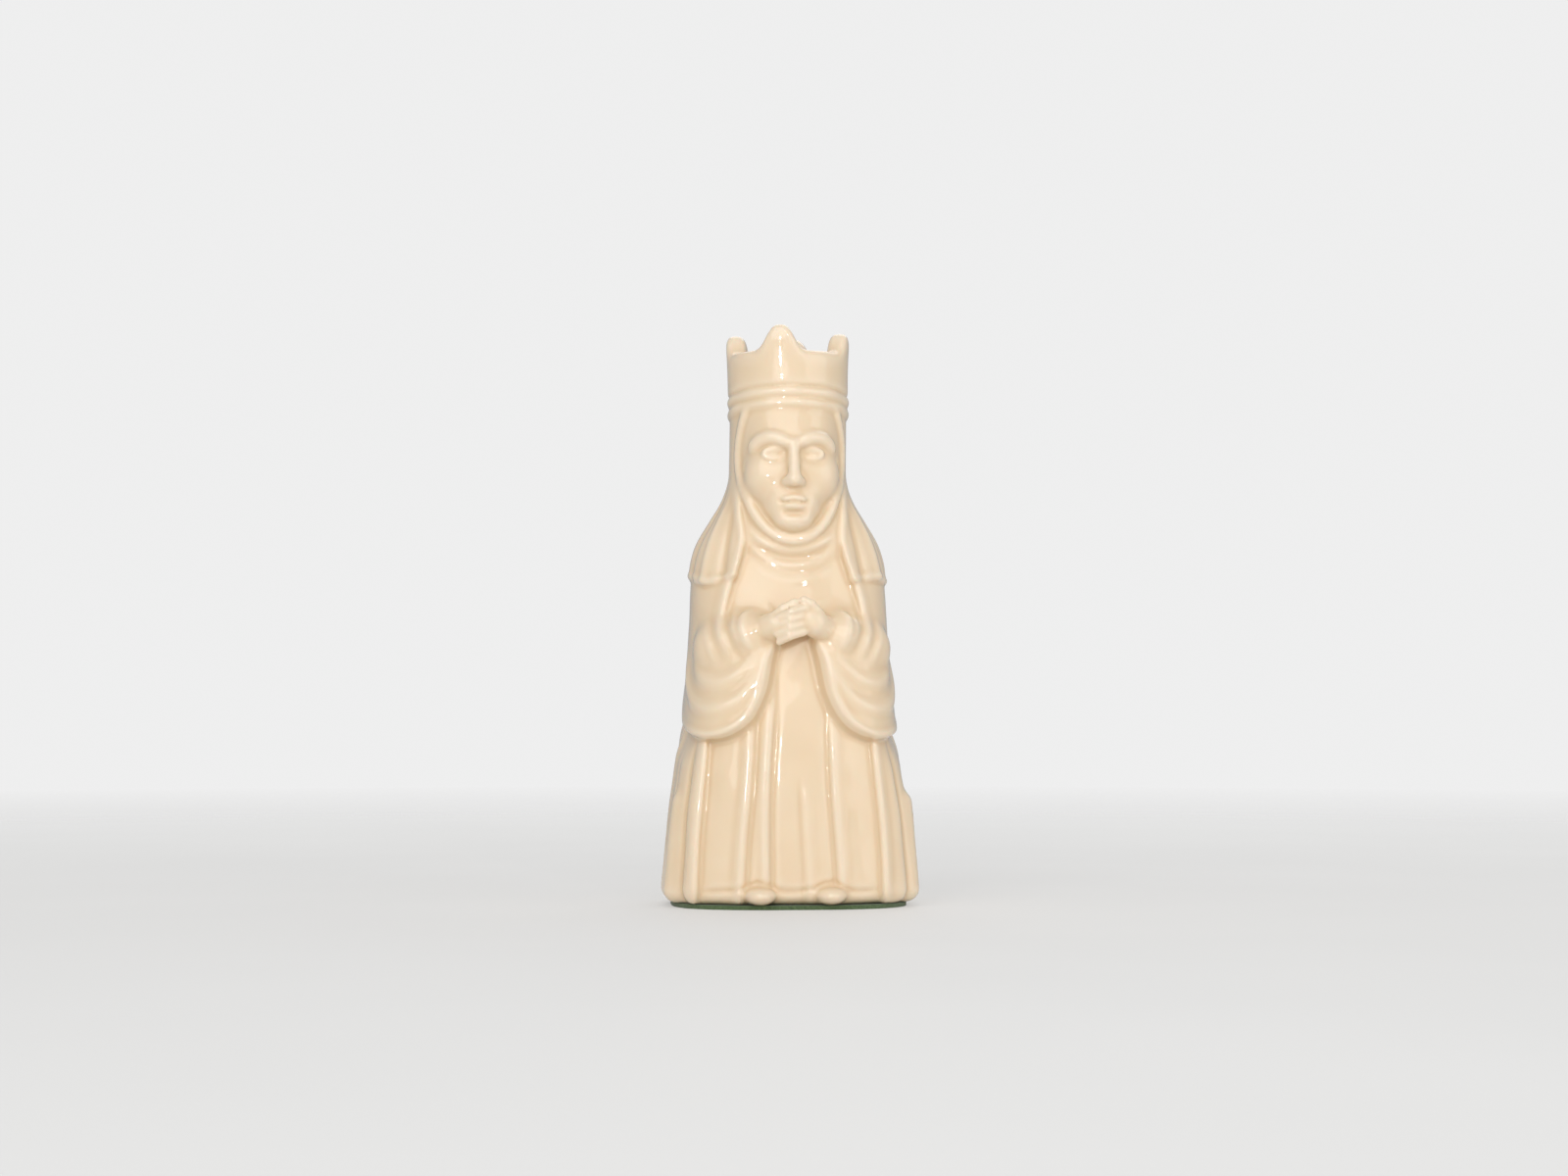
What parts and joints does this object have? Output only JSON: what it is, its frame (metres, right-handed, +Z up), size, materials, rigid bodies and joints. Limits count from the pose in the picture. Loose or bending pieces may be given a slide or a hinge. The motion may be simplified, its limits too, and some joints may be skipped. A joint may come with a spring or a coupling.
{
  "type": "figural chess queen",
  "caption": "Hollow glazed ceramic chess queen in crown, veil and open mantle, hands folded, with a felt pad and a cork bung under the foot.",
  "frame": {"origin": "middle of the part's box on the table plane, under the felt", "axes": "+Z up through the crown, -Y the way the queen faces, +X to her left"},
  "size_m": [0.0486, 0.0398, 0.11],
  "materials": {
    "cream_glaze": "cream earthenware under a clear gloss glaze, softened in every groove",
    "green_felt": "dark green pressed felt",
    "cork": "fine-grained natural cork"
  },
  "bodies": {
    "figure": {"ceramic_body": "cream_glaze", "felt_pad": "green_felt"},
    "bung": {"cork_bung": "cork"}
  },
  "joints": [
    {"name": "bung_pull", "type": "slide", "parent": "figure", "child": "bung", "axis": [0, 0, -1], "range_m": [0, 0.02]}
  ]
}
